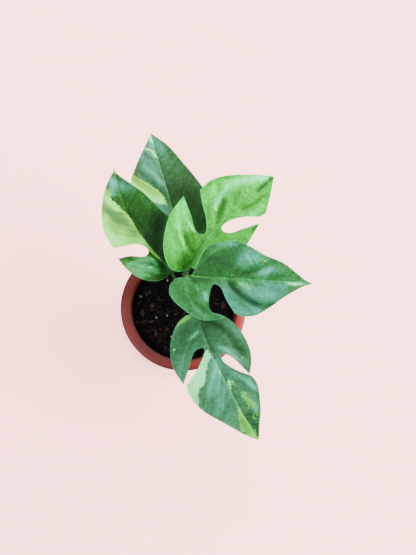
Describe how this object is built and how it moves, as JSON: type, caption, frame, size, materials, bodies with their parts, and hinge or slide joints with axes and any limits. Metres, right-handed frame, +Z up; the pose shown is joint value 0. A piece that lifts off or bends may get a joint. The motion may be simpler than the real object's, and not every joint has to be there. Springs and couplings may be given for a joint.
{
  "type": "potted mini monstera",
  "caption": "Small split-leaf climbing aroid with cream and lime variegated blades on slim stalks, rooted in dark bark mix in a red-brown nursery pot.",
  "frame": {"origin": "centre of the pot's flat base, on the surface it stands on", "axes": "+Z up, opposite the base face's outward normal; +Y from the middle of the pot towards the stem and the back leaf, the object's longest horizontal extent; -Y the side where the front leaf hangs out over the rim; +X the side the right-hand leaf points to"},
  "size_m": [0.1847, 0.2874, 0.2062],
  "materials": {
    "pot": "satin",
    "soil": "matte",
    "stem": "satin",
    "petiole": "satin",
    "leaf_back": "satin",
    "leaf_front": "satin",
    "leaf_left": "satin",
    "leaf_right": "satin",
    "leaf_lime": "satin",
    "bark": "matte",
    "perlite": "matte"
  },
  "bodies": {
    "root": {"pot": "pot", "soil": "soil", "stem": "stem", "petiole_back": "petiole", "leaf_back": "leaf_back", "petiole_front": "petiole", "leaf_front": "leaf_front", "petiole_left": "petiole", "leaf_left": "leaf_left", "petiole_right": "petiole", "leaf_right": "leaf_right", "petiole_lime": "petiole", "leaf_lime": "leaf_lime", "bark_chip_01": "bark", "bark_chip_02": "bark", "bark_chip_03": "bark", "bark_chip_04": "bark", "bark_chip_05": "bark", "bark_chip_06": "bark", "bark_chip_07": "bark", "bark_chip_08": "bark", "bark_chip_09": "bark", "bark_chip_10": "bark", "bark_chip_11": "bark", "bark_chip_12": "bark", "bark_chip_13": "bark", "bark_chip_14": "bark", "perlite_01": "perlite", "perlite_02": "perlite", "perlite_03": "perlite", "perlite_04": "perlite", "perlite_05": "perlite", "perlite_06": "perlite"}
  },
  "joints": []
}
